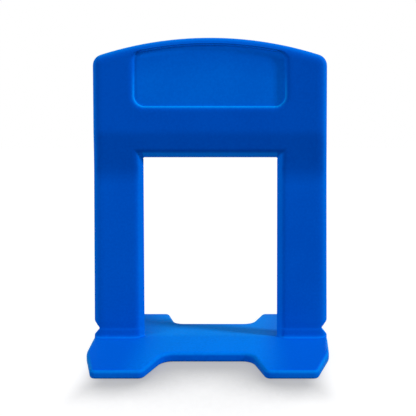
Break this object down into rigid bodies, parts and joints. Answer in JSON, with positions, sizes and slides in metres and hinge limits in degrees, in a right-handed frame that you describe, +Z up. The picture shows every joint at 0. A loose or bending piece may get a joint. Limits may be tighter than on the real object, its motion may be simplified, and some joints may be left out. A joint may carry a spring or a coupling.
{
  "type": "tile levelling clip",
  "caption": "Break-off tile levelling clip: an arched blade with a wedge window and notched legs on a flat base plate with pads.",
  "frame": {"origin": "centre of the base plate's underside", "axes": "+X across the blade, +Y through its thickness toward the rear tile, +Z up the blade"},
  "size_m": [0.0404, 0.0254, 0.0533],
  "materials": {
    "clip": "satin blue moulded polypropylene"
  },
  "bodies": {
    "root": {"clip": "clip"}
  },
  "joints": []
}
